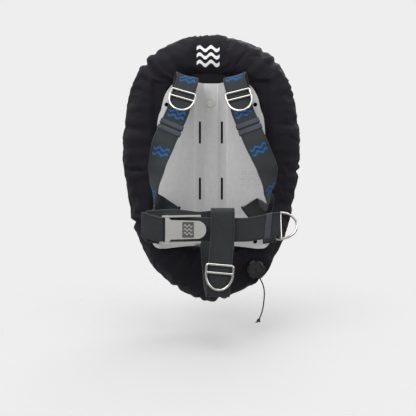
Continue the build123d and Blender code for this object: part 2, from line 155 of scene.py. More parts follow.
vec, num = "NodeSocketVector", "NodeSocketFloat"


def makeWeaveGroup():     # over and under threads of a plain weave
    tree, given, out = newGroup("plainWeave", [("Cloth", vec, None), ("Pitch", num, 0.001),
                                               ("Slub", num, 0.2)], [("Height", num), ("SlubAndThreadShade", num)])
    right, up, _ = separated(tree, given["Cloth"])
    u, v = ratio(tree, right, given["Pitch"]), ratio(tree, up, given["Pitch"])
    across, along = ridges(tree, u, math.pi), ridges(tree, v, math.pi)
    turn = calc(tree, "MODULO", plus(tree, calc(tree, "FLOOR", u), calc(tree, "FLOOR", v)), 2.0)
    over = absolute(tree, turn)
    height = plus(tree, times(tree, across, over), times(tree, along, minus(tree, 1.0, over)))
    slub = noiseOf(tree, given["Cloth"], 420.0, 3.0, 0.6)
    uneven = times(tree, minus(tree, slub, 0.5), given["Slub"])
    tree.links.new(plus(tree, height, uneven), out["Height"])
    # the second output is the colour value: thread crowns lighter and the hollows between threads darker, a
    # painted shade of the weave relief, plus the slub's real unevenness
    tree.links.new(plus(tree, timesPlus(tree, height, 0.35, 0.8), uneven), out["SlubAndThreadShade"])
    return tree


def makeMottleGroup():    # slow change of tone, as from handling
    tree, given, out = newGroup("mottle", [("Place", vec, None), ("Size", num, 0.05), ("Low", num, 0.9),
                                           ("High", num, 1.1)], [("Value", num)])
    rate = ratio(tree, 1.0, given["Size"])
    broad = noiseOf(tree, given["Place"], rate, 3.0, 0.55)
    fine = noiseOf(tree, given["Place"], times(tree, rate, 9.0), 2.0, 0.6)
    blend = timesPlus(tree, fine, 0.3, times(tree, broad, 0.7))
    tree.links.new(ramp(tree, blend, 0.32, 0.68, given["Low"], given["High"]), out["Value"])
    return tree


def makeGrainGroup():     # blasted or moulded grain
    tree, given, out = newGroup("fineGrain", [("Place", vec, None), ("Grain", num, 0.0006),
                                              ("Pits", num, 0.3)], [("Height", num), ("Speckle", num)])
    rate = ratio(tree, 1.0, given["Grain"])
    grain = noiseOf(tree, given["Place"], rate, 2.0, 0.6)
    cells = put(tree, "ShaderNodeTexVoronoi")
    tree.links.new(given["Place"], cells.inputs["Vector"])
    tree.links.new(rate, cells.inputs["Scale"])
    pits = times(tree, cells.outputs["Distance"], given["Pits"])
    tree.links.new(plus(tree, grain, pits), out["Height"])
    tree.links.new(ramp(tree, grain, 0.35, 0.65), out["Speckle"])
    return tree


def makeWearGroup():      # rubbed edges, broken up by scratches
    tree, given, out = newGroup("edgeWear", [("Place", vec, None), ("Pointiness", num, 0.5),
                                             ("Amount", num, 0.5)], [("Wear", num), ("Scratch", num)])
    edge = ramp(tree, given["Pointiness"], 0.51, 0.58)
    rub = ramp(tree, noiseOf(tree, given["Place"], 90.0, 4.0, 0.7), 0.4, 0.62)
    tree.links.new(times(tree, times(tree, edge, rub), given["Amount"]), out["Wear"])
    stretch = put(tree, "ShaderNodeMapping")
    stretch.inputs["Rotation"].default_value = (0.3, 0.5, 0.9)
    stretch.inputs["Scale"].default_value = (30.0, 900.0, 900.0)
    tree.links.new(given["Place"], stretch.inputs["Vector"])
    tree.links.new(ramp(tree, noiseOf(tree, stretch.outputs[0], 1.0), 0.62, 0.72), out["Scratch"])
    return tree


def makeStitchGroup():    # one row of lockstitch along the cloth
    tree, given, out = newGroup("stitchRow", [("Across", num, 0.0), ("Along", num, 0.0), ("Centre", num, 0.0),
                                              ("Stitch", num, 0.004), ("Thread", num, 0.0006)],
                                [("Mask", num), ("Pull", num)])
    off = ratio(tree, absolute(tree, minus(tree, given["Across"], given["Centre"])), given["Thread"])
    inside = minus(tree, 1.0, ramp(tree, off, 0.7, 1.1))
    step = ridges(tree, ratio(tree, given["Along"], given["Stitch"]), math.pi)
    tree.links.new(times(tree, inside, ramp(tree, step, 0.25, 0.45)), out["Mask"])
    tree.links.new(minus(tree, 1.0, ramp(tree, off, 0.0, 4.0)), out["Pull"])
    return tree


def makeWaveGroup():      # a stack of plain water waves
    tree, given, out = newGroup("waterWaves", [("Right", num, 0.0), ("Up", num, 0.0), ("Width", num, 0.04),
                                               ("Pitch", num, 0.012), ("Rows", num, 2.0),
                                               ("Stroke", num, 0.004)], [("Mask", num), ("Outline", num)])
    right, pitch = given["Right"], given["Pitch"]
    half = times(tree, given["Width"], 0.5)
    turn = times(tree, 4 * math.pi, ratio(tree, right, given["Width"]))       # two waves over the width
    lifted = minus(tree, given["Up"], times(tree, calc(tree, "SINE", turn), times(tree, pitch, 0.26)))
    tall = times(tree, given["Rows"], pitch)
    shifted = plus(tree, lifted, times(tree, tall, 0.5))
    cell = minus(tree, calc(tree, "MODULO", shifted, pitch), times(tree, pitch, 0.5))
    line = minus(tree, absolute(tree, cell), times(tree, given["Stroke"], 0.5))
    ends = minus(tree, absolute(tree, right), half)
    low, high = times(tree, shifted, -1.0), minus(tree, shifted, tall)
    reach = larger(tree, larger(tree, line, ends), larger(tree, low, high))
    tree.links.new(below(tree, reach, 0.0), out["Mask"])
    tree.links.new(below(tree, absolute(tree, reach), 0.0005), out["Outline"])
    return tree


weaveGroup, mottleGroup, grainGroup = makeWeaveGroup(), makeMottleGroup(), makeGrainGroup()
wearGroup, stitchGroup, waveGroup = makeWearGroup(), makeStitchGroup(), makeWaveGroup()


def place(tree, group, **values):
    node = put(tree, "ShaderNodeGroup", node_tree=group)
    for key, value in values.items():
        feed(tree, node.inputs[key], value)
    return node.outputs


def newMaterial(name, **constants):
    material = bpy.data.materials.new(name)
    material.use_nodes = True
    tree = material.node_tree
    shader = tree.nodes["Principled BSDF"]
    for key, value in constants.items():
        shader.inputs[key.replace("_", " ")].default_value = value
    return material, tree, shader


def tinted(tree, shader, colour, shade):      # the plain colour times a value
    result = scaled(tree, colour, shade)
    tree.links.new(result, shader.inputs["Base Color"])
    return result


def bump(tree, shader, height, strength, distance):
    node = put(tree, "ShaderNodeBump")
    node.inputs["Strength"].default_value = strength
    node.inputs["Distance"].default_value = distance
    tree.links.new(height, node.inputs["Height"])
    tree.links.new(node.outputs[0], shader.inputs["Normal"])
    return node.inputs["Height"]


def objectPlace(tree):
    spot = put(tree, "ShaderNodeTexCoord").outputs["Object"]
    return spot, separated(tree, spot)


def fromMiddle(tree, mark, x, z):
    return minus(tree, x, mark["middle"][0]), minus(tree, z, mark["middle"][1])


def waves(tree, mark, right, up):
    return place(tree, waveGroup, Right=right, Up=up, Width=mark["width"], Pitch=mark["pitch"],
                 Rows=mark["rows"], Stroke=mark["stroke"])


cloths = {
    "wingNylon": {"colour": (0.0074, 0.0062, 0.0096), "pitch": 0.0011, "rough": 0.66, "sheen": 0.03},
    "panelNylon": {"colour": (0.007, 0.0065, 0.008), "pitch": 0.0011, "rough": 0.8, "sheen": 0.03},
    "harnessPlain": {"colour": (0.025, 0.0275, 0.03), "pitch": 0.0017, "rough": 0.72, "sheen": 0.07},
    "harnessMarked": {"colour": (0.0265, 0.0295, 0.032), "pitch": 0.0017, "rough": 0.72, "sheen": 0.08},
    "keeperElastic": {"colour": (0.052, 0.059, 0.07), "pitch": 0.0013, "rough": 0.85, "sheen": 0.08},
}
wingMark = {"middle": (-0.0066, 0.251), "width": 0.054, "pitch": 0.0172, "rows": 3.0, "stroke": 0.0082,
            "colour": (0.86, 0.86, 0.86, 1), "frontY": 0.045}
strapMark = {"width": 0.038, "pitch": 0.0115, "rows": 2.0, "stroke": 0.0052, "every": 0.093, "upTo": 0.31,
             "colour": (0.008, 0.088, 0.26)}
plateMark = {"middle": (0.092, -0.041), "width": 0.04, "pitch": 0.013, "rows": 3.0, "stroke": 0.0055,
             "colour": (0.2, 0.2, 0.2, 1), "frontY": 0.0005}
buckleMark = {"middle": (-0.048, -0.1435), "width": 0.018, "pitch": 0.008, "rows": 3.0, "stroke": 0.0028,
              "colour": (0.22, 0.22, 0.215, 1), "frontY": -0.14, "field": (0.0122, 0.0166)}
rimStitch = {"rows": (0.006, 0.011), "stitch": 0.0042, "thread": 0.0007, "colour": (0.03, 0.03, 0.034, 1)}
rib = {"pitch": 0.0042, "bodyHalf": 0.0213, "groove": (0.0205, 0.0217), "selvedge": 0.0243,
       "grooveShadeColour": (0.012, 0.013, 0.014, 1), "selvedgeHighlightColour": (0.085, 0.088, 0.09, 1)}


def makeCloth(name, depth):
    look = cloths[name]
    material, tree, shader = newMaterial(name, Roughness=look["rough"], Sheen_Weight=look["sheen"],
                                         Sheen_Roughness=0.45, Specular_IOR_Level=0.16)
    spot = put(tree, "ShaderNodeAttribute", attribute_name="clothCoord").outputs["Vector"]
    across, along, side = separated(tree, spot)      # metres across and along the cloth, and its face
    weave = place(tree, weaveGroup, Cloth=spot, Pitch=look["pitch"], Slub=0.35)
    tone = place(tree, mottleGroup, Place=spot, Size=0.06, Low=0.8, High=1.2)["Value"]
    # the cloth's colour is its own tone times the weave's painted thread shade
    colour = tinted(tree, shader, look["colour"], times(tree, weave["SlubAndThreadShade"], tone))
    tree.links.new(ramp(tree, tone, 0.8, 1.2, look["rough"] - 0.06, look["rough"] + 0.1),
                   shader.inputs["Roughness"])
    height = bump(tree, shader, weave["Height"], 0.6, depth)
    return material, tree, shader, {"across": across, "along": along, "side": side, "colour": colour,
                                    "shade": weave["SlubAndThreadShade"], "weave": weave["Height"], "height": height}


def makeWingNylon():
    material, tree, shader, cloth = makeCloth("wingNylon", 0.00025)
    _, (x, y, z) = objectPlace(tree)
    mark = waves(tree, wingMark, *fromMiddle(tree, wingMark, x, z))
    inked = times(tree, mark["Mask"], below(tree, y, wingMark["frontY"]))
    painted = mixed(tree, inked, cloth["colour"], wingMark["colour"])
    rows = [place(tree, stitchGroup, Across=absolute(tree, cloth["across"]), Along=cloth["along"], Centre=c,
                  Stitch=rimStitch["stitch"], Thread=rimStitch["thread"]) for c in rimStitch["rows"]]
    sewn = larger(tree, rows[0]["Mask"], rows[1]["Mask"])
    final = mixed(tree, times(tree, sewn, 0.6), painted, rimStitch["colour"])
    tree.links.new(final, shader.inputs["Base Color"])
    pulled = timesPlus(tree, larger(tree, rows[0]["Pull"], rows[1]["Pull"]), -2.5, cloth["weave"])
    tree.links.new(plus(tree, pulled, times(tree, sewn, 1.5)), cloth["height"])
    return material


def ribbed(name, marked):     # harness webbing: ribs along it, a groove darkened with painted shade, and a selvedge band painted lighter as a painted highlight of the edge fold
    material, tree, shader, cloth = makeCloth(name, 0.0003)
    across, along = cloth["across"], cloth["along"]
    outer = absolute(tree, across)
    groove = times(tree, above(tree, outer, rib["groove"][0]), below(tree, outer, rib["groove"][1]))
    # painted shade: the colour is darkened inside the groove
    final = mixed(tree, times(tree, groove, 0.55), cloth["colour"], rib["grooveShadeColour"])
    # painted highlight: a lighter band along each edge, where light catches the folded edge
    lighter = above(tree, outer, rib["selvedge"])
    final = mixed(tree, times(tree, lighter, 0.4), final, rib["selvedgeHighlightColour"])
    if marked:
        every = strapMark["every"]
        turned = calc(tree, "MODULO", plus(tree, along, 10.5 * every), every)
        mark = waves(tree, strapMark, across, minus(tree, turned, 0.5 * every))
        woven = times(tree, mark["Mask"], above(tree, cloth["side"], 0.0))
        woven = times(tree, woven, below(tree, along, strapMark["upTo"]))
        # the blue woven marks carry the same painted thread shade
        final = mixed(tree, woven, final, scaled(tree, strapMark["colour"], cloth["shade"]))
    tree.links.new(final, shader.inputs["Base Color"])
    ribs = times(tree, ridges(tree, across, math.pi / rib["pitch"]), below(tree, outer, rib["bodyHalf"]))
    total = minus(tree, plus(tree, cloth["weave"], times(tree, ribs, 0.9)), times(tree, groove, 2.0))
    tree.links.new(total, cloth["height"])
    return material


def makeElastic():
    material, tree, _, cloth = makeCloth("keeperElastic", 0.0003)
    cords = ridges(tree, cloth["along"], math.pi / 0.0021)      # rubber cords 2.1 mm apart
    tree.links.new(plus(tree, cloth["weave"], times(tree, cords, 1.6)), cloth["height"])
    return material


def makeBraid():
    material, tree, shader = newMaterial("cordBraid", Roughness=0.7, Sheen_Weight=0.1, Specular_IOR_Level=0.3)
    _, (x, _, z) = objectPlace(tree)
    strand, other = ridges(tree, plus(tree, z, x), 1900.0), ridges(tree, minus(tree, z, x), 1900.0)
    both = times(tree, strand, other)
    # the strand ridges also scale the colour: painted shade between the strands
    tinted(tree, shader, (0.016, 0.016, 0.018), timesPlus(tree, both, 0.7, 0.6))
    bump(tree, shader, both, 0.8, 0.0003)
    return material


# relief: what raises the surface, how strongly and how far
hards = {
    "blastedAluminium": {"colour": (0.6, 0.595, 0.595), "rough": 0.46, "metal": 0.5, "specular": 0.5,
                         "grain": 0.0007, "wear": 0.3, "worn": (0.7, 0.7, 0.7), "size": 0.25, "spread": 0.006,
                         "relief": ("grain", 0.25, 0.0001)},
    "blackPlastic": {"colour": (0.006, 0.006, 0.007), "rough": 0.3, "metal": 0.0, "specular": 0.45,
                     "grain": 0.0009, "wear": 0.4, "worn": (0.04, 0.04, 0.043), "size": 0.03, "spread": 0.15,
                     "relief": ("grain", 0.3, 0.00008)},
    "sealRubber": {"colour": (0.02, 0.02, 0.021), "rough": 0.7, "metal": 0.0, "specular": 0.3,
                   "grain": 0.0007, "wear": 0.2, "worn": (0.05, 0.05, 0.05), "size": 0.05, "spread": 0.2,
                   "relief": ("grain", 0.3, 0.00008)},
    "bladderFilm": {"colour": (0.24, 0.21, 0.12), "rough": 0.38, "metal": 0.0, "specular": 0.5,
                    "grain": 0.002, "wear": 0.1, "worn": (0.3, 0.27, 0.18), "size": 0.08, "spread": 0.15,
                    "relief": ("tone", 0.4, 0.0008)},
}
for steelName, steelColour, steelRough, steelWear in (("polishedStainless", (0.6, 0.58, 0.55), 0.14, 0.3),
                                                      ("buckleSteel", (0.86, 0.85, 0.82), 0.22, 0.4),
                                                      ("springSteel", (0.5, 0.5, 0.5), 0.3, 0.2)):
    hards[steelName] = {"colour": steelColour, "rough": steelRough, "metal": 1.0, "specular": 0.5,
                        "grain": 0.0012, "wear": steelWear, "worn": (0.85, 0.84, 0.82), "size": 0.06,
                        "spread": 0.05, "relief": ("scratch", 0.03, 0.00002)}


def makeHard(name):
    look = hards[name]
    material, tree, shader = newMaterial(name, Metallic=look["metal"], Roughness=look["rough"],
                                         Specular_IOR_Level=look["specular"])
    spot, axes = objectPlace(tree)
    fine = place(tree, grainGroup, Place=spot, Grain=look["grain"], Pits=0.3)
    tone = place(tree, mottleGroup, Place=spot, Size=look["size"], Low=1.0 - look["spread"],
                 High=1.0 + look["spread"])["Value"]
    pointiness = put(tree, "ShaderNodeNewGeometry").outputs["Pointiness"]
    rubbed = place(tree, wearGroup, Place=spot, Pointiness=pointiness, Amount=look["wear"])
    shade = times(tree, tone, timesPlus(tree, fine["Speckle"], 0.04, 0.98))
    final = mixed(tree, rubbed["Wear"], tinted(tree, shader, look["colour"], shade), (*look["worn"], 1))
    tree.links.new(final, shader.inputs["Base Color"])
    scuffed = plus(tree, times(tree, tone, look["rough"]), times(tree, rubbed["Scratch"], 0.03))
    tree.links.new(scuffed, shader.inputs["Roughness"])
    source, strength, distance = look["relief"]
    heights = {"grain": fine["Height"], "tone": tone, "scratch": rubbed["Scratch"]}
    bump(tree, shader, heights[source], strength, distance)
    return material, tree, shader, final, axes


def makePlateMetal():         # the outline of plain waves etched at the right
    material, tree, shader, final, (x, y, z) = makeHard("blastedAluminium")
    etched = waves(tree, plateMark, *fromMiddle(tree, plateMark, x, z))
    lined = times(tree, etched["Outline"], below(tree, y, plateMark["frontY"]))
    marked = mixed(tree, times(tree, lined, 0.45), final, plateMark["colour"])
    tree.links.new(marked, shader.inputs["Base Color"])
    return material


def makeBuckleSteel():        # the sunk field of the lever is painted dark, partly its textured finish and partly painted shade in the recess, with plain waves left bright
    material, tree, shader, final, (x, y, z) = makeHard("buckleSteel")
    right, up = fromMiddle(tree, buckleMark, x, z)
    halfW, halfH = buckleMark["field"]
    inside = times(tree, below(tree, absolute(tree, right), halfW), below(tree, absolute(tree, up), halfH))
    inside = times(tree, inside, below(tree, y, buckleMark["frontY"]))
    # the darker colour in the sunk field is partly the textured finish and partly painted shade in the recess
    field = times(tree, inside, minus(tree, 1.0, waves(tree, buckleMark, right, up)["Mask"]))
    tree.links.new(mixed(tree, field, final, buckleMark["colour"]), shader.inputs["Base Color"])
    return material


wingNylon, panelNylon = makeWingNylon(), makeCloth("panelNylon", 0.00025)[0]
harnessPlain, harnessMarked = ribbed("harnessPlain", False), ribbed("harnessMarked", True)
keeperElastic, cordBraid = makeElastic(), makeBraid()
plateMetal, buckleSteel = makePlateMetal(), makeBuckleSteel()
stainless, springSteel = makeHard("polishedStainless")[0], makeHard("springSteel")[0]
blackPlastic, sealRubber = makeHard("blackPlastic")[0], makeHard("sealRubber")[0]
bladderFilm = makeHard("bladderFilm")[0]
print("materials ready")


def meshPiece(name, verts, faces, material, body, stands, coords=None, smooth=True):
    mesh = bpy.data.meshes.new(name)
    mesh.from_pydata([tuple(v) for v in verts], [], faces)
    if coords is not None:
        kept = mesh.attributes.new("clothCoord", "FLOAT_VECTOR", "POINT")
        kept.data.foreach_set("vector", np.asarray(coords, np.float32).ravel())
    mesh.materials.append(material)
    mesh.polygons.foreach_set("use_smooth", [smooth] * len(mesh.polygons))
    mesh.update()
    piece = linked(name, mesh)
    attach(piece, body)
    if stands:
        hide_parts(*stands)
    return piece


def wobble(x, y, z, scale):
    return noise.noise(Vector((x * scale, y * scale, z * scale)))


def loopFaces(count, loop, close=False):     # quads from each loop of points to the next
    faces = []
    for i in range(count if close else count - 1):
        j = (i + 1) % count
        for k in range(loop):
            m = (k + 1) % loop
            faces.append((i * loop + k, i * loop + m, j * loop + m, j * loop + k))
    return faces


def endFaces(count, loop):
    return [tuple(reversed(range(loop))), tuple(range((count - 1) * loop, count * loop))]


def tubeAlong(points, radius, sides=10, close=False, taper=None):
    pts = [Vector(p) for p in points]
    count = len(pts)
    verts, lean = [], None
    for i, p in enumerate(pts):
        a = pts[i - 1] if i or close else p
        b = pts[(i + 1) % count] if i < count - 1 or close else p
        along = (b - a).normalized()
        if lean is None:
            lean = along.orthogonal().normalized()
        lean = (lean - along * lean.dot(along)).normalized()
        side = along.cross(lean)
        r = radius * (taper(i / (count - 1)) if taper else 1.0)
        for k in range(sides):
            angle = 2 * math.pi * k / sides
            verts.append(p + (lean * math.cos(angle) + side * math.sin(angle)) * r)
    return verts, loopFaces(count, sides, close) + ([] if close else endFaces(count, sides))


pullCord = {
    "route": [(0.110998, 0.0006, -0.263716), (0.115796, 0.0006, -0.274715), (0.1223, 0.0012, -0.2875),
              (0.1256, 0.0026, -0.301), (0.1261, 0.004, -0.316), (0.1246, 0.0052, -0.331),
              (0.123, 0.006, -0.345), (0.1192, 0.0062, -0.3585), (0.1142, 0.006, -0.3705)],
    "exit": (0.1106, 0.0006, -0.2628), "length": 0.111, "thick": 0.003,
}


def makePullCord():
    data = bpy.data.curves.new("pull_cord_line", "CURVE")
    data.dimensions = "3D"
    spline = data.splines.new("NURBS")
    spline.points.add(len(pullCord["route"]) - 1)
    for point, spot in zip(spline.points, pullCord["route"]):
        point.co = (*spot, 1)
    spline.order_u = 3
    spline.use_endpoint_u = True
    spline.resolution_u = 10
    data.bevel_depth = pullCord["thick"] / 2
    data.bevel_resolution = 4
    data.use_fill_caps = True
    data.materials.append(cordBraid)
    cord = linked("pull_cord_line", data)
    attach(cord, "cord")
    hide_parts("pull_cord")
    # overhand knot: a small trefoil of the same cord, and its tail
    end, back = Vector(pullCord["route"][-1]), Vector(pullCord["route"][-2])
    way = (end - back).normalized()
    side = Vector((0, 1, 0))
    deep = way.cross(side).normalized()
    loops, count = [], 48
    for k in range(count):
        t = 2 * math.pi * k / count
        out = 1.25 * math.sin(t) + 2.3 * math.sin(2 * t)
        over = 1.25 * math.cos(t) - 2.3 * math.cos(2 * t)
        loops.append(end + way * (3.6 + over) * mm + deep * out * mm + side * (-1.5 * math.sin(3 * t)) * mm)
    verts, faces = tubeAlong(loops, 1.55 * mm, 10, close=True)
    low = end + way * 5.5 * mm
    lean = Vector((-0.75, 0.05, -0.66))
    tail = [low + lean * (k * 1.2 * mm) + Vector((0, 0, 0.00006 * k * k)) for k in range(9)]
    more, moreFaces = tubeAlong(tail, 1.5 * mm, 10, taper=lambda t: 1.0 - 0.25 * t ** 4)
    faces += [tuple(i + len(verts) for i in f) for f in moreFaces]
    knot = meshPiece("pull_cord_end_knot", verts + more, faces, cordBraid, "cord",
                     ["pull_cord_knot"])


makePullCord()
print("pull cord ready")


wing = {
    "half": [(0, 307), (72, 296), (140, 262), (182, 208.7), (206, 121), (213.5, 25), (203, -70), (180, -170),
             (150, -236), (107, -285), (45, -324)],
    "foot": (0, -338), "middleY": 51.0, "halfDepth": 42.0, "fullness": 2.35,
    "hole": (75.0, 200.5, 60.0, -0.5), "around": 420, "across": 88,
    "puckerEvery": 21.0, "pucker": 0.95, "ripple": 2.4, "swell": 3.0, "fill": 0.8,
    "valve": (105.8, -251.8, 10.75, 16.4), "port": (0.0, 252.0, 92.9, 17.9),      # x, z, seat y, hole radius
    "clamped": 34, "overSection": 62.0, "noiseLoop": 270, "bag": 0.82, "cloth": 0.0008, "binding": 1.2,
    "gather": {"least": 0.4, "more": 1.1, "toward": (0.75, 0.66), "from": 130, "over": 90},
    # rim point, end point, depth, half width
    "creases": [((-164, 243), (-112, 188), 7.5, 6.5), ((-146, 272), (-122, 246), 5.0, 5.0),
                ((131, 277), (118, 248), 4.0, 4.5), ((160, 249), (139, 226), 5.5, 5.5),
                ((216, -22), (176, -17), 5.5, 5.5), ((214, -4), (166, -8), 3.0, 4.5),
                ((-187, -146), (-128, -152), 7.0, 6.0), ((-88, -316), (-70, -282), 5.5, 5.0),
                ((-28, -342), (-24, -305), 4.5, 5.0), ((22, -334), (18, -288), 6.5, 6.5),
                ((118, -281), (96, -262), 3.0, 4.0), ((44, 304), (38, 262), 2.6, 5.0),
                ((-206, 84), (-150, 70), 2.4, 7.0), ((209, 96), (150, 86), 2.4, 7.0),
                ((196, -104), (150, -92), 2.8, 7.0), ((-196, -60), (-150, -52), 2.4, 8.0)],
}
backOfPlate = {"halfWidth": 146, "top": 200, "low": -214, "soft": 10, "cloth": 8.6, "elsewhere": -4.0}
inflation = {"quality": 4, "mass": 0.25, "tension": 18, "shear": 8, "bending": 0.35, "pressure": 2.2,
             "shrink": -0.035, "frames": 14, "limit": 0.006}


def closedSpline(points, count):      # smooth closed curve through the points, evenly spaced
    pts = np.array(points, float)
    n = len(pts)
    gap = np.linalg.norm(np.roll(pts, -1, 0) - pts, axis=1)
    last = np.roll(gap, 1)
    system, right = np.zeros((n, n)), np.zeros((n, 2))
    for i in range(n):
        system[i, i - 1] = gap[i]
        system[i, i] = 2 * (last[i] + gap[i])
        system[i, (i + 1) % n] = last[i]
        ahead = (pts[(i + 1) % n] - pts[i]) / gap[i]
        behind = (pts[i] - pts[i - 1]) / last[i]
        right[i] = 3 * (last[i] * ahead + gap[i] * behind)
    slope = np.linalg.solve(system, right)
    fine = []
    for i in range(n):
        t = np.linspace(0, 1, 60, endpoint=False)[:, None]      # 60 places on each span
        a, b, h = pts[i], pts[(i + 1) % n], gap[i]
        fine.append((2 * t ** 3 - 3 * t ** 2 + 1) * a + (t ** 3 - 2 * t ** 2 + t) * h * slope[i]
                    + (3 * t ** 2 - 2 * t ** 3) * b + (t ** 3 - t ** 2) * h * slope[(i + 1) % n])
    fine = np.vstack(fine)
    closed = np.vstack([fine, fine[:1]])
    run = np.concatenate([[0], np.cumsum(np.linalg.norm(np.diff(closed, axis=0), axis=1))])
    want = np.linspace(0, run[-1], count, endpoint=False)
    return np.stack([np.interp(want, run, closed[:, k]) for k in (0, 1)], 1), want


def holeReach(spine, way):        # distance from the spine to the rounded hole, along way
    halfW, halfH, corner, midZ = wing["hole"]
    low, high = np.zeros(len(spine)), np.full(len(spine), 160.0)
    for _ in range(30):
        mid = (low + high) / 2
        p = spine + way * mid[:, None]
        q = np.abs(p - np.array([0, midZ])) - np.array([halfW - corner, halfH - corner])
        away = np.linalg.norm(np.maximum(q, 0), axis=1) + np.minimum(q.max(1), 0) - corner
        low, high = np.where(away < 0, mid, low), np.where(away < 0, high, mid)
    return low


def wingSurface():
    pts = wing["half"] + [wing["foot"]] + [(-x, z) for x, z in reversed(wing["half"][1:])]
    rim, run = closedSpline(pts, wing["around"])
    halfW, halfH, _, midZ = wing["hole"]
    spine = np.stack([np.zeros(len(rim)), np.clip(rim[:, 1], midZ - halfH + halfW, midZ + halfH - halfW)], 1)
    way = rim - spine
    far = np.linalg.norm(way, axis=1)
    way /= far[:, None]
    near = holeReach(spine, way)
    rows, cols = wing["around"], wing["across"]
    angle = np.linspace(-math.pi, math.pi, cols, endpoint=False)      # 0 at the rim seam, minus is the front
    power = 2 / wing["fullness"]
    cosine, sine = np.cos(angle), np.sin(angle)
    radial = np.sign(cosine) * np.abs(cosine) ** power
    depth = np.sign(sine) * np.abs(sine) ** power
    middle, half = (far + near) / 2, (far - near) / 2
    reach = middle[:, None] + half[:, None] * radial[None, :]
    flat = spine[:, None, :] + way[:, None, :] * reach[:, :, None]
    y = wing["middleY"] + wing["halfDepth"] * np.broadcast_to(depth, (rows, cols))
    grid = np.stack([flat[:, :, 0], y, flat[:, :, 1]], 2)
    return grid, run, angle


def gridNormals(grid):
    a = np.roll(grid, -1, 0) - np.roll(grid, 1, 0)
    b = np.roll(grid, -1, 1) - np.roll(grid, 1, 1)
    n = np.cross(a, b)
    return n / np.maximum(np.linalg.norm(n, axis=2, keepdims=True), 1e-9)


def puckered(grid, run, angle):
    normals = gridNormals(grid)
    centre = grid.mean(1, keepdims=True)
    if np.sum(normals * (grid - centre)) < 0:
        normals = -normals
    rows, cols = len(run), len(angle)
    fromRim = np.abs(angle) * wing["overSection"]            # mm over the surface from the rim seam
    gather, far = wing["gather"], wing["noiseLoop"]
    push = np.zeros((rows, cols))
    total = run[-1] + run[1]
    for i in range(rows):
        turn = 2 * math.pi * run[i] / total
        cx, cz = far * math.cos(turn), far * math.sin(turn)        # a loop in noise, so the ends meet
        uneven = wobble(cx, cz, 3, 0.012)
        rimX, rimZ = grid[i, cols // 2, 0], grid[i, cols // 2, 2]
        corner = (rimX * gather["toward"][0] + rimZ * gather["toward"][1] - gather["from"]) / gather["over"]
        gathered = gather["least"] + gather["more"] * min(1.0, max(0.0, corner))
        for j in range(cols):
            face = 1.0 if angle[j] < 0 else -1.0
            drift = 0.9 * wobble(cx, cz, fromRim[j] * 0.6 + 40 * face, 0.02)
            phase = 2 * math.pi * (run[i] / total * round(total / wing["puckerEvery"]) + drift)
            tuck = math.cos(phase) - 0.35 * math.cos(2 * phase + 1.1)
            strong = math.exp(-fromRim[j] / 30.0) * (0.75 + 1.6 * uneven) * gathered
            streak = wobble(cx, cz, fromRim[j] * 0.16 + 300 * face, 0.045)
            broad = wobble(grid[i, j, 0], grid[i, j, 2], 200 * face, 0.011)
            push[i, j] = wing["pucker"] * strong * tuck + wing["ripple"] * streak + wing["swell"] * broad
    x, z = grid[:, :, 0], grid[:, :, 2]
    for (ax, az), (bx, bz), deep, wide in wing["creases"]:
        a, b = np.array([ax, az], float), np.array([bx, bz], float)
        line = b - a
        length = np.linalg.norm(line)
        line /= length
        t = (x - ax) * line[0] + (z - az) * line[1]
        off = (x - ax) * line[1] - (z - az) * line[0]
        off = off + 2.2 * np.sin(t / 13.0)
        share = np.clip(t / length, 0, 1)
        fade = (1 - share) ** 0.8 * np.where(t > length, 0, 1) * np.exp(-np.maximum(-t, 0) / 8)
        spread = wide * (1 + 0.5 * share)
        valley = -np.exp(-(off / spread) ** 2) + 0.42 * np.exp(-((np.abs(off) - 2.1 * spread) / spread) ** 2)
        push += deep * fade * valley * (grid[:, :, 1] < wing["middleY"] + 22)
    return grid + normals * push[:, :, None]


def onSide(grid, front):
    return (grid[:, :, 1] < wing["middleY"]) if front else (grid[:, :, 1] > wing["middleY"])


def seated(grid):      # the cloth lies flat where the valve and the port clamp it, and behind the plate
    x, y, z = grid[:, :, 0], grid[:, :, 1].copy(), grid[:, :, 2]
    for (cx, cz, level, _), front in ((wing["valve"], True), (wing["port"], False)):
        away = np.hypot(x - cx, z - cz)
        hold = np.clip((52 - away) / 24, 0, 1)      # flat within 28 mm, free from 52 mm
        hold = hold * hold * (3 - 2 * hold)
        y = np.where(onSide(grid, front), y * (1 - hold) + level * hold, y)
    plate = backOfPlate
    behind = 1.0
    for inside in (plate["halfWidth"] - np.abs(x), plate["top"] - z, z - plate["low"]):
        behind = behind * np.clip(inside / plate["soft"], 0, 1)
    y = np.maximum(y, plate["cloth"] * behind + plate["elsewhere"] * (1 - behind))
    return np.stack([x, np.clip(y, -2, 98), z], 2)


def gridFaces(rows, cols, keep=None):
    faces = []
    for i in range(rows):
        k = (i + 1) % rows
        for j in range(cols):
            m = (j + 1) % cols
            if keep is None or keep[i, j]:
                faces.append((i * cols + j, k * cols + j, k * cols + m, i * cols + m))
    return faces


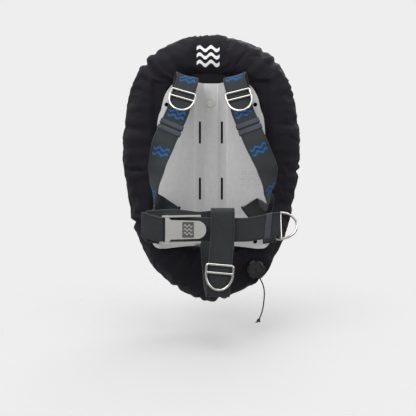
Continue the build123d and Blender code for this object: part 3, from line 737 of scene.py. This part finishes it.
def inflated(piece, grid):     # short pressure run, each point held near where it began
    start = np.array([v.co for v in piece.data.vertices])
    group = piece.vertex_groups.new(name="held")
    rows, cols = grid.shape[:2]
    for i in range(rows):
        for j in range(cols):
            p = grid[i, j]
            seam = abs(j - cols // 2) < 1 or j < 2 or j > cols - 2
            clamp = min(math.hypot(p[0] - wing[k][0], p[2] - wing[k][1]) for k in ("valve", "port"))
            if seam or clamp < wing["clamped"]:
                group.add([i * cols + j], 1.0, "REPLACE")
    cloth = piece.modifiers.new("inflate", "CLOTH")
    use = cloth.settings
    use.quality = inflation["quality"]
    use.mass = inflation["mass"]
    use.tension_stiffness = use.compression_stiffness = inflation["tension"]
    use.shear_stiffness = inflation["shear"]
    use.bending_stiffness = inflation["bending"]
    use.use_pressure = True
    use.uniform_pressure_force = inflation["pressure"]
    use.shrink_min = inflation["shrink"]
    use.effector_weights.gravity = 0
    use.vertex_group_mass = "held"
    cloth.collision_settings.use_collision = False
    scene = bpy.context.scene
    scene.frame_start, scene.frame_end = 1, inflation["frames"]
    for step in range(1, inflation["frames"] + 1):
        scene.frame_set(step)
    dg = bpy.context.evaluated_depsgraph_get()
    shaped = np.array([v.co for v in piece.evaluated_get(dg).data.vertices])
    piece.modifiers.remove(cloth)
    scene.frame_set(1)
    move = shaped - start
    size = np.linalg.norm(move, axis=1, keepdims=True)
    move *= np.minimum(1, inflation["limit"] / np.maximum(size, 1e-9))
    print("wing cloth moved up to", round(float(size.max()) * 1000, 1), "mm")
    return start + move


def makeWing():
    grid, run, angle = wingSurface()
    grid = seated(puckered(grid, run, angle))
    rows, cols = grid.shape[:2]
    keep = np.ones((rows, cols), bool)
    for (cx, cz, _, r), front in ((wing["valve"], True), (wing["port"], False)):
        keep &= ~((np.hypot(grid[:, :, 0] - cx, grid[:, :, 2] - cz) < r) & onSide(grid, front))
    coords = np.zeros((rows, cols, 3))
    coords[:, :, 0] = angle[None, :] * wing["overSection"] * mm
    coords[:, :, 1] = run[:, None] * mm
    coords[:, :, 2] = 1.0
    verts = (grid * mm).reshape(-1, 3)
    piece = meshPiece("wing_cover", verts, gridFaces(rows, cols, keep), wingNylon, "root",
                      ["wing_shell"], coords.reshape(-1, 3))
    shaped = inflated(piece, grid)
    shaped = seated(shaped.reshape(rows, cols, 3) / mm) * mm
    piece.data.vertices.foreach_set("co", shaped.reshape(-1, 3).astype(np.float32).ravel())
    piece.data.update()
    grid = shaped / mm
    solid = piece.modifiers.new("clothThickness", "SOLIDIFY")
    solid.thickness = wing["cloth"]
    solid.offset = -1
    # the bladder lies inside, a little smaller
    middle = grid.mean(1, keepdims=True)
    inner = (middle + (grid - middle) * wing["bag"])[::3, ::2]
    keep = np.ones(inner.shape[:2], bool)
    for cx, cz in (wing["valve"][:2], wing["port"][:2]):
        keep &= np.hypot(inner[:, :, 0] - cx, inner[:, :, 2] - cz) > wing["clamped"]
    meshPiece("wing_bladder_bag", (inner * mm).reshape(-1, 3), gridFaces(*keep.shape, keep), bladderFilm,
              "root", ["wing_bladder"])
    # bound rim seam
    seamLine = grid[:, cols // 2] * mm
    sides = 8
    verts, faces = tubeAlong(seamLine, wing["binding"] * mm, sides, close=True)
    rimCoords = [(0.004 * math.sin(k % sides), run[k // sides] * mm, 1.0) for k in range(len(verts))]
    meshPiece("wing_rim_binding", verts, faces, panelNylon, "root", None, rimCoords)


makeWing()
print("wing ready")


panel = {"low": -160, "high": 210, "half": 90, "corner": 62, "front": 21.2, "back": 23.4, "edge": 0.3,
         "camX": 26, "camZ": (70, -63), "camLen": 56, "camWide": 1.6, "boltZ": 139.7, "hole": 5.7,
         "overcast": 0.9}
stabilizer = {"x": 50, "y": 32.65, "z": -5, "radius": 8.9, "length": 250, "rows": 110, "cols": 36,
              "fill": 0.85}


def roundedRing(halfW, halfH, corner, cx=0.0, cz=0.0, steps=10):
    ring = []
    for sx, sz, start in ((1, 1, 0), (-1, 1, 90), (-1, -1, 180), (1, -1, 270)):
        for k in range(steps + 1):
            a = math.radians(start + 90 * k / steps)
            ring.append((cx + sx * (halfW - corner) + corner * math.cos(a),
                         cz + sz * (halfH - corner) + corner * math.sin(a)))
    return ring


def makePanel():
    data = bpy.data.curves.new("panelOutline", "CURVE")
    data.dimensions = "2D"
    data.fill_mode = "BOTH"
    midZ, halfH = (panel["low"] + panel["high"]) / 2, (panel["high"] - panel["low"]) / 2
    rings = [roundedRing(panel["half"], halfH, panel["corner"], 0, midZ, 24)]
    slots = []
    for sx in (-1, 1):
        for z in panel["camZ"]:
            slots.append(roundedRing(panel["camWide"] / 2, panel["camLen"] / 2, panel["camWide"] / 2 - 0.01,
                                     sx * panel["camX"], z, 6))
    for sz in (-1, 1):
        hole = panel["hole"]
        rings.append(roundedRing(hole, hole, hole - 0.01, 0, sz * panel["boltZ"], 8))
    for ring in rings + slots:
        spline = data.splines.new("POLY")
        spline.points.add(len(ring) - 1)
        for point, (x, z) in zip(spline.points, ring):
            point.co = (x * mm, z * mm, 0, 1)
        spline.use_cyclic_u = True
    data.extrude = (panel["back"] - panel["front"]) / 2 * mm - panel["edge"] * mm
    data.bevel_depth = panel["edge"] * mm
    holder = linked("panelOutline", data)
    bpy.context.view_layer.update()
    dg = bpy.context.evaluated_depsgraph_get()
    mesh = bpy.data.meshes.new_from_object(holder.evaluated_get(dg))
    bpy.data.objects.remove(holder)
    mid = (panel["front"] + panel["back"]) / 2 * mm
    verts = [(v.co.x, mid - v.co.z, v.co.y) for v in mesh.vertices]
    faces = [tuple(p.vertices) for p in mesh.polygons]
    coords = [(x, z, 1.0) for x, _, z in verts]
    meshPiece("wing_centre_sheet", verts, faces, panelNylon, "root", ["wing_center_panel"],
              coords, smooth=False)
    for k, ring in enumerate(slots):          # overcast edge round each band slot
        for face in ("front", "back"):
            line = [Vector((x * mm, panel[face] * mm, z * mm)) for x, z in ring]
            line = [p for i, p in enumerate(line) if (p - line[i - 1]).length > 1e-5]
            verts, faces = tubeAlong(line, panel["overcast"] * mm, 6, close=True)
            meshPiece(f"slot_edging_{k}_{face}", verts, faces, panelNylon, "root", None,
                      [(p[0], p[2], 1.0) for p in verts])


def makeStabilizers():
    rows, cols, radius = stabilizer["rows"], stabilizer["cols"], stabilizer["radius"]
    for sx, name in ((-1, "left"), (1, "right")):
        verts, coords = [], []
        for i in range(rows):
            u = -1 + 2 * i / (rows - 1)
            edge = max(0.0, 1 - abs(u) ** 14) ** 0.5      # square ends with rounded corners
            plump = 1 - 0.06 * u * u + 0.02 * math.sin(17 * u)
            for j in range(cols):
                a = 2 * math.pi * j / cols
                tuck = 1 + 0.05 * math.sin(9 * a + 3 * u) * abs(u) ** 6
                r = radius * edge * plump * tuck
                r *= 1 - 0.05 * math.exp(-((math.cos(a - math.pi) - 1) / 0.02) ** 2)
                r += 0.35 * wobble(40 * u, 9 * math.cos(a), 9 * math.sin(a) + 60 * sx, 0.12)
                r = min(r, radius)
                verts.append(((sx * stabilizer["x"] + r * math.cos(a)) * mm,
                              (stabilizer["y"] + max(r, 0) * math.sin(a)) * mm,
                              (stabilizer["z"] + u * stabilizer["length"] / 2 * 0.995) * mm))
                coords.append((radius * a * mm, u * stabilizer["length"] / 2 * mm, 1.0))
        faces = [f for f in gridFaces(rows, cols) if abs(f[0] // cols - f[1] // cols) < 2]
        faces += [tuple(reversed(f)) for f in endFaces(rows, cols)]
        roll = meshPiece(f"stabilizer_pad_{name}", verts, faces, panelNylon, "root",
                         [f"tank_stabilizer_{name}"], coords)


makePanel()
makeStabilizers()
print("panel and stabilizers ready")


web = {"width": 50.8, "thick": 2.5, "edge": 1.15, "hem": 13.5, "hidden": 4.65, "step": 2.0}


def twisted(a, b, t):      # turn from one width direction to the next, gathered in while it turns
    angle = a.angle(b, 0.0)
    if angle < 0.001:
        return a.copy()
    way = (a * math.sin((1 - t) * angle) + b * math.sin(t * angle)) / math.sin(angle)
    return way * (1 - 0.42 * min(1.0, angle / 2.1) ** 2 * math.sin(math.pi * t))


def strapPath(route, across, radii, soft=0, firm=0.0):      # soft passes of smoothing, not near the ends
    pts = [Vector(p) for p in route]
    wide = [Vector(a).normalized() for a in across]
    bends = [0] + list(radii) + [0]
    line = [(pts[0], wide[0])]
    for i in range(1, len(pts) - 1):
        u, v = (pts[i] - pts[i - 1]).normalized(), (pts[i + 1] - pts[i]).normalized()
        turn, axis = u.angle(v), u.cross(v).normalized()
        start = pts[i] - u * bends[i] * math.tan(turn / 2)
        centre = start + Matrix.Rotation(math.pi / 2, 3, axis) @ u * bends[i]
        steps = max(2, math.ceil(math.degrees(turn) / 8))
        for k in range(steps + 1):
            line.append((centre + Matrix.Rotation(turn * k / steps, 3, axis) @ (start - centre), wide[i]))
    line.append((pts[-1], wide[-1]))
    spots, turns = np.array([p for p, _ in line]), [w for _, w in line]
    run = np.concatenate([[0], np.cumsum(np.linalg.norm(np.diff(spots, axis=0), axis=1))])
    want = np.linspace(0, run[-1], int(run[-1] / web["step"]) + 1)
    spots = np.stack([np.interp(want, run, spots[:, k]) for k in range(3)], 1)
    sides = []
    for s in want:
        i = min(max(int(np.searchsorted(run, s)), 1), len(run) - 1)
        sides.append(twisted(turns[i - 1], turns[i], (s - run[i - 1]) / max(run[i] - run[i - 1], 1e-9)))
    sides = np.array(sides)
    ends = np.minimum(want, want[-1] - want)
    loose = np.clip((ends - firm) / 20, 0, 1)[:, None]
    for _ in range(soft):
        for rows in (spots, sides):
            mean = (rows[:-2] + 2 * rows[1:-1] + rows[2:]) / 4
            rows[1:-1] += (mean - rows[1:-1]) * loose[1:-1]
    return spots, sides, want


def ribbon(spots, sides, run, shape=None, start=0.0, seed=0):
    half, thick, edge = web["width"] / 2, web["thick"] / 2, web["edge"]
    inner = list(np.linspace(-(half - edge), half - edge, 13))
    xs = [-half + edge * 0.12, -half + edge * 0.45] + inner + [half - edge * 0.45, half - edge * 0.12]
    lift = [thick * (1 - max(0.0, (abs(x) - (half - edge)) / edge) ** 2) ** 0.5 for x in xs]
    profile = [(-half, 0.0, 0)] + [(x, z, 1) for x, z in zip(xs, lift)] + [(half, 0.0, 0)]
    profile += [(x, -z, -1) for x, z in zip(reversed(xs), reversed(lift))]
    verts, coords = [], []
    count, loop = len(spots), len(profile)
    ahead = np.gradient(spots, axis=0)
    for i in range(count):
        along = Vector(ahead[i]).normalized()
        wide = Vector(sides[i])
        share = min(1.0, wide.length)
        wide = (wide - along * wide.dot(along)).normalized()
        up = along.cross(wide)
        for x, z, face in profile:
            off = 0.12 * wobble(x, run[i], 31 * seed, 0.09)
            if shape:
                off += shape(x / half, run[i], run[-1])
            gather = (1 - share) * 5.0 * math.cos(7.0 * x / half)
            verts.append((Vector(spots[i]) + wide * (x * share) + up * (z + off + gather)) * mm)
            coords.append((x * mm, (run[i] + start) * mm, float(face)))
    return verts, coords, loopFaces(count, loop) + endFaces(count, loop)


def joined(parts):
    verts, coords, faces = [], [], []
    for v, c, f in parts:
        faces += [tuple(i + len(verts) for i in face) for face in f]
        verts += v
        coords += c
    return verts, coords, faces


def slotRun(x, z, away, front, y):      # from the stop behind the plate to the front of the slot
    return [(x + away[0] * web["hem"], y, z + away[1] * web["hem"]), (x, y, z), (x, front, z)]


def hem(x, z, away, wide, y):         # second layer of the sewn stop behind a slot
    behind, count = y + web["thick"] + 0.05, 8
    a = Vector((x + away[0] * web["hem"], behind, z + away[1] * web["hem"]))
    b = Vector((x + away[0] * 1.5, behind, z + away[1] * 1.5))
    spots = np.array([a.lerp(b, k / (count - 1)) for k in range(count)])
    return ribbon(spots, np.array([wide] * count, float), np.linspace(0, (b - a).length, count), seed=5)


topSlot, sideSlot, waistSlot = (66.0, 168.0, 15.0), (89.0, -127.0, 37.0), (125.0, -165.0)      # x, z, degrees
shoulder = {
    "left": {"side": -1, "tilt": (0.31, 0.36), "yaw": (38, 62, 80), "marksFrom": -84.0, "folds": 1.2,
             "chest": [(-52, -37, 191), (-74, -67, 112), (-104, -90, 42), (-119, -95, -10), (-126, -86, -52),
                       (-128, -62, -86)]},
    "right": {"side": 1, "tilt": (0.29, 0.37), "yaw": (20, 52, 76), "marksFrom": -78.0, "folds": 3.2,
              "chest": [(52, -37, 191), (71, -67, 112), (97, -89, 46), (124, -95, -14), (130, -87, -54),
                        (130, -64, -88)]},
    "radii": [2.6, 6, 9, 9, 60, 60, 30, 24, 22, 9, 2.9, 2.6],
}


def yawed(side, yaw, roll):
    turn = math.radians(yaw)
    return (math.cos(turn), side * math.sin(turn), side * math.tan(math.radians(roll)))


def shoulderRoute(name):
    look = shoulder[name]
    s, (x, z, lean) = look["side"], topSlot
    topWide = (1, 0, s * math.tan(math.radians(lean)))
    topAway = (s * math.sin(math.radians(lean)), -math.cos(math.radians(lean)))
    sx, sz, tilt = sideSlot
    lowWide = (s * math.sin(math.radians(tilt)), 0, -math.cos(math.radians(tilt)))
    lowAway = (s * math.cos(math.radians(tilt)), math.sin(math.radians(tilt)))
    route = slotRun(s * x, z, topAway, -9, web["hidden"]) + [(s * 58, -15, 207)] + look["chest"]
    route += [(s * 127, -3.2, -101.5)] + slotRun(s * sx, sz, lowAway, -3.2, web["hidden"])[::-1]
    wide = [topWide] * 3 + [(1, 0, s * 0.28)] * 2 + [(1, 0, s * t) for t in look["tilt"]]
    wide += [yawed(s, look["yaw"][0], 9), yawed(s, look["yaw"][1], 10), yawed(s, look["yaw"][2], 40)]
    wide += [lowWide] * 4
    hems = [hem(s * x, z, topAway, topWide, web["hidden"]), hem(s * sx, sz, lowAway, lowWide, web["hidden"])]
    return route, wide, hems


def makeShoulderStrap(name):
    look = shoulder[name]
    route, wide, hems = shoulderRoute(name)
    spots, sides, run = strapPath(route, wide, shoulder["radii"], soft=22, firm=34)

    def shape(x, s, total):
        chestCup = 1.2 * math.exp(-((s - 330) / 70) ** 2) * (1 - x * x)
        low = math.exp(-((s - (total - 62)) / 17) ** 2)
        folds = look["folds"] * low * (0.55 + 0.45 * math.sin(5.2 * x + 1.2)) * (1 - 0.3 * x * x)
        return chestCup + folds

    body = ribbon(spots, sides, run, shape, start=look["marksFrom"], seed=look["side"] + 2)
    verts, coords, faces = joined([body] + hems)
    meshPiece(f"shoulder_webbing_{name}", verts, faces, harnessMarked, "root",
              [f"shoulder_strap_{name}"], coords)


waist = {
    "right": {"route": [(147, -42, -157), (147, -131.5, -131), (106, -132, -139.5), (80, -131.5, -144.5),
                        (25, -131.5, -145), (-10, -129, -143.7), (-106, -128, -143.4), (-134, -125.5, -136),
                        (-134, -116, -130), (-80, -117, -126.5), (-28, -118, -133), (27, -120, -128)],
              "radii": [2.6, 7, 20, 7, 60, 90, 90, 120, 30, 3.2, 3.2, 60, 60]},
    "left": {"route": [(-147, -42, -157), (-147, -134.5, -131), (-124, -137.6, -139.8),
                       (-110, -137.6, -143.5), (-99.3, -137.6, -143.5), (-99.3, -131.2, -143.5),
                       (-118, -131.6, -143.3)],
             "radii": [2.6, 7, 20, 6, 30, 30, 3.15, 3.15]},
}


def makeWaistStrap(name):
    s = -1 if name == "left" else 1
    x, z = waistSlot
    route = slotRun(s * x, z, (s, 0), -9, web["hidden"]) + waist[name]["route"]
    wide = [(0, 0, 1)] * len(route)
    spots, sides, run = strapPath(route, wide, waist[name]["radii"])
    body = ribbon(spots, sides, run, seed=7 + s)
    verts, coords, faces = joined([body, hem(s * x, z, (s, 0), (0, 0, 1), web["hidden"])])
    meshPiece(f"waist_webbing_{name}", verts, faces, harnessPlain, "root",
              [f"waist_strap_{name}"], coords)


crotch = {
    "slot": (0, -183.0, 22.65),
    "route": [(4, -34, -236), (9, -72, -274), (13, -104, -287), (15, -139, -288), (15.6, -139, -262),
              (22, -139, -190), (25, -137.6, -150), (25, -137.6, -102.5), (25, -112.5, -99),
              (25, -112.5, -160)],
    "radii": [2.6, 12, 60, 60, 16, 14, 120, 120, 120, 8, 8],
    "flap": [(25, -112.5, -158), (25, -112.5, -172), (24, -136.9, -186)],
}


def makeCrotchStrap():
    x, z, y = crotch["slot"]
    route = slotRun(x, z, (0, 1), -6, y) + crotch["route"]
    spots, sides, run = strapPath(route, [(1, 0, 0)] * len(route), crotch["radii"])
    body = ribbon(spots, sides, run, seed=11)
    flap = ribbon(*strapPath(crotch["flap"], [(1, 0, 0)] * 3, [8]), seed=12)
    verts, coords, faces = joined([body, flap, hem(x, z, (0, 1), (1, 0, 0), y)])
    meshPiece("crotch_webbing", verts, faces, harnessPlain, "root", ["crotch_strap"], coords)


for strapSide in ("left", "right"):
    makeShoulderStrap(strapSide)
    makeWaistStrap(strapSide)
makeCrotchStrap()
print("webbing ready")


# ends of the strap's run, share of it, width direction, band length and body
keepers = {
    "left": ((-74, -67, 112), (-104, -90, 42), 0.52, (1, 0, -0.335), 11, "keeper_left"),
    "right": ((71, -67, 112), (97, -89, 46), 0.52, (1, 0, 0.33), 11, "keeper_right"),
    "hip": ((147, -131.5, -131), (106, -132, -139.5), 0.62, (0, 0, 1), 13, "keeper_hip"),
}
band = {"gap": 0.6, "thick": 1.5, "bow": 0.5, "pair": 7.5, "askew": (0.1, 0, 1), "rows": 12,
        "cornerSteps": 17}


def makeKeeper(name, side, shift):
    a, b, share, wide, length, body = keepers[side]
    a, b = Vector(a), Vector(b)
    down = (b - a).normalized()
    centre = a + (b - a) * share + down * shift
    wide = Vector(wide)
    square = (wide - down * wide.dot(down)).normalized()
    out = down.cross(square)
    wide = Vector(band["askew"]) if side == "hip" else square
    rows = band["rows"]
    halfW, halfT = web["width"] / 2 + band["gap"], web["thick"] / 2 + band["gap"]
    verts, coords = [], []
    for grow in (band["thick"], 0.0):      # outer face, then inner face
        ring = roundedRing(halfW + grow, halfT + grow, (halfT + grow) * 0.92, steps=band["cornerSteps"])
        for i in range(rows):
            u = -1 + 2 * i / (rows - 1)
            soft = 1 - 0.35 * abs(u) ** 6 if grow else 1.0
            girth = 0.0
            for k, (x, z) in enumerate(ring):
                px, pz = ring[k - 1]
                girth += math.hypot(x - px, z - pz) if k else 0
                bow = band["bow"] * (1 - (x / halfW) ** 2) * (1 if z > 0 else 0) if abs(x) < halfW else 0
                zz = z * soft + bow
                verts.append((centre + down * (u * length / 2) + wide * x + out * zz) * mm)
                coords.append((girth * mm, u * length / 2 * mm, 1.0))
    count = len(ring)
    size, last = rows * count, (rows - 1) * count
    faces = loopFaces(rows, count)
    faces += [(size + a, size + d, size + c, size + b) for a, b, c, d in loopFaces(rows, count)]
    for k in range(count):
        m = (k + 1) % count
        faces.append((k, size + k, size + m, m))
        faces.append((last + k, last + m, size + last + m, size + last + k))
    meshPiece(name.replace("keeper", "elastic"), verts, faces, keeperElastic, body,
              [name], coords)


for strapSide in ("left", "right"):
    makeKeeper(f"shoulder_keeper_{strapSide}_upper", strapSide, -band["pair"])
    makeKeeper(f"shoulder_keeper_{strapSide}_lower", strapSide, band["pair"])
makeKeeper("hip_keeper", "hip", 0.0)
print("keepers ready")


valveSpring = {"x": 0.1058, "z": -0.2518, "start": 0.35, "pitch": 2.4, "turns": 3, "radius": 8.0, "wire": 0.6,
               "pressed": 0.54, "seat": -0.00025, "steps": 40}


def makeValveSpring():      # the dump valve's coil spring: three turns of wire round the valve
    look, steps = valveSpring, valveSpring["steps"]
    line = []
    for k in range(look["turns"] * steps + 1):
        a = 2 * math.pi * k / steps
        line.append(Vector((look["x"] + look["radius"] * mm * math.cos(a),
                            (look["start"] + look["pitch"] * k / steps) * mm,
                            look["z"] + look["radius"] * mm * math.sin(a))))
    verts, faces = tubeAlong(line, look["wire"] * mm, 10)
    coil = meshPiece("dump_valve_coil", verts, faces, springSteel, "root",
                     ["dump_valve_spring"])
    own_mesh(coil)


makeValveSpring()
print("valve spring ready")


finishes = {
    "backplate": plateMetal, "book_screw_barrels": stainless, "book_screws": stainless,
    "panel_grommets": stainless, "shoulder_ring_left": stainless, "shoulder_ring_right": stainless,
    "hip_ring": stainless, "crotch_ring": stainless, "buckle_frame": buckleSteel, "buckle_pin": stainless,
    "buckle_lever": buckleSteel, "dump_valve_body": blackPlastic, "dump_valve_cap": blackPlastic,
    "dump_valve_poppet": blackPlastic, "inflator_port": blackPlastic, "inflator_elbow": blackPlastic,
    "elbow_nut": blackPlastic, "dump_valve_gasket": sealRubber, "elbow_o_ring": sealRubber,
}
creaseAngle = 32      # edges sharper than this many degrees stay crisp
for nodeName, finish in finishes.items():
    data = nodes[nodeName].data
    data.materials.clear()
    data.materials.append(finish)
    data.polygons.foreach_set("use_smooth", [True] * len(data.polygons))
    smoother = nodes[nodeName].modifiers.new("rounded", "EDGE_SPLIT")
    smoother.split_angle = math.radians(creaseAngle)
print("finishes ready")


studio = {"floorZ": -0.40, "floorRadius": 1.1, "floorTone": 0.52, "skyTone": 0.855, "reflectTop": 1.0,
          "reflectLow": 0.1, "aim": (0, 0, -0.03),
          "key": ((-1.3, -1.7, 1.5), 36.0, 1.4), "fill": ((1.7, -1.4, 0.5), 10.0, 1.2),
          "back": ((0.6, 1.9, 1.4), 24.0, 1.6), "top": ((0.0, -0.3, 1.9), 12.0, 1.2)}


def makeFloor():
    rings, sides = 14, 72
    verts, faces = [Vector((0, 0, studio["floorZ"]))], []
    for i in range(1, rings + 1):
        for k in range(sides):
            a = 2 * math.pi * k / sides
            r = studio["floorRadius"] * i / rings
            verts.append(Vector((r * math.cos(a), r * math.sin(a), studio["floorZ"])))
    for k in range(sides):
        faces.append((0, 1 + k, 1 + (k + 1) % sides))
    for i in range(rings - 1):
        for k in range(sides):
            a, b = 1 + i * sides + k, 1 + i * sides + (k + 1) % sides
            faces.append((a, a + sides, b + sides, b))
    mesh = bpy.data.meshes.new("floor")
    mesh.from_pydata([tuple(v) for v in verts], [], faces)
    material, tree, shader = newMaterial("paleFloor", Roughness=0.9, Specular_IOR_Level=0.1)
    spot, (x, y, _) = objectPlace(tree)
    away = calc(tree, "SQRT", plus(tree, times(tree, x, x), times(tree, y, y)))
    tone = timesPlus(tree, noiseOf(tree, spot, 3.0), 0.01, studio["floorTone"])
    tinted(tree, shader, (1.0, 1.0, 1.0), tone)
    tree.links.new(ramp(tree, away, 0.12, studio["floorRadius"] * 0.8, 0.75, 0.0), shader.inputs["Alpha"])
    mesh.materials.append(material)
    linked("floor", mesh)


def makeLight(name):
    spot, power, size = studio[name]
    data = bpy.data.lights.new(name, "AREA")
    data.energy = power
    data.shape = "DISK"
    data.size = size
    lamp = linked(name, data)
    lamp.location = spot
    lamp.rotation_euler = (Vector(studio["aim"]) - Vector(spot)).to_track_quat("-Z", "Y").to_euler()


def makeWorld():
    world = bpy.data.worlds.new("paleStudio")
    world.use_nodes = True
    tree = world.node_tree
    tree.nodes.clear()
    seen = put(tree, "ShaderNodeBackground")
    seen.inputs["Color"].default_value = (studio["skyTone"],) * 3 + (1,)
    lit = put(tree, "ShaderNodeBackground")
    _, _, height = separated(tree, put(tree, "ShaderNodeTexCoord").outputs["Generated"])
    level = ramp(tree, height, -0.75, 0.85, studio["reflectLow"], studio["reflectTop"])
    tree.links.new(mixed(tree, level, (0, 0, 0, 1), (1, 1, 1, 1)), lit.inputs["Color"])
    path = put(tree, "ShaderNodeLightPath")
    choose = put(tree, "ShaderNodeMixShader")
    tree.links.new(path.outputs["Is Camera Ray"], choose.inputs[0])
    tree.links.new(lit.outputs[0], choose.inputs[1])
    tree.links.new(seen.outputs[0], choose.inputs[2])
    result = put(tree, "ShaderNodeOutputWorld")
    tree.links.new(choose.outputs[0], result.inputs["Surface"])
    bpy.context.scene.world = world


makeFloor()
for lampName in ("key", "fill", "back", "top"):
    makeLight(lampName)
makeWorld()
bpy.context.scene.view_settings.view_transform = "Standard"
print("studio ready")
